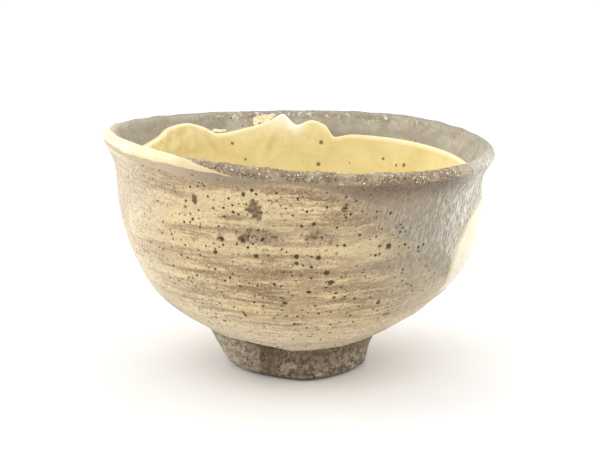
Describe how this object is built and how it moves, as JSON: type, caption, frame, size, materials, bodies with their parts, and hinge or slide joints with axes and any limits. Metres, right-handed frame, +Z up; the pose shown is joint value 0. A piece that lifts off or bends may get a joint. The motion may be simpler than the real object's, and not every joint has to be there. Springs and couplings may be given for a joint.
{
  "type": "matcha bowl",
  "caption": "Hand-thrown stoneware matcha bowl with a flared uneven lip, a trimmed foot ring, and brushed and poured slip over dark clay.",
  "frame": {"origin": "middle of the foot's flat resting face, on the plane that the bowl stands on", "axes": "+Z up through the mouth; -Y is the front, where the brushed slip shows most; +X is the right side, where the slip was poured"},
  "size_m": [0.1305, 0.1301, 0.0803],
  "materials": {
    "speckled_clay": "satin",
    "bare_foot_clay": "satin",
    "cream_slip": "gloss",
    "lip_glaze": "gloss",
    "brushed_slip": "satin",
    "pour_glaze": "gloss"
  },
  "bodies": {
    "root": {"clay_bowl": "speckled_clay", "foot_ring": "bare_foot_clay", "inside_slip": "cream_slip", "inside_slip_smears": "cream_slip", "lip_slip": "lip_glaze", "outside_slip": "brushed_slip", "side_slip": "pour_glaze"}
  },
  "joints": []
}
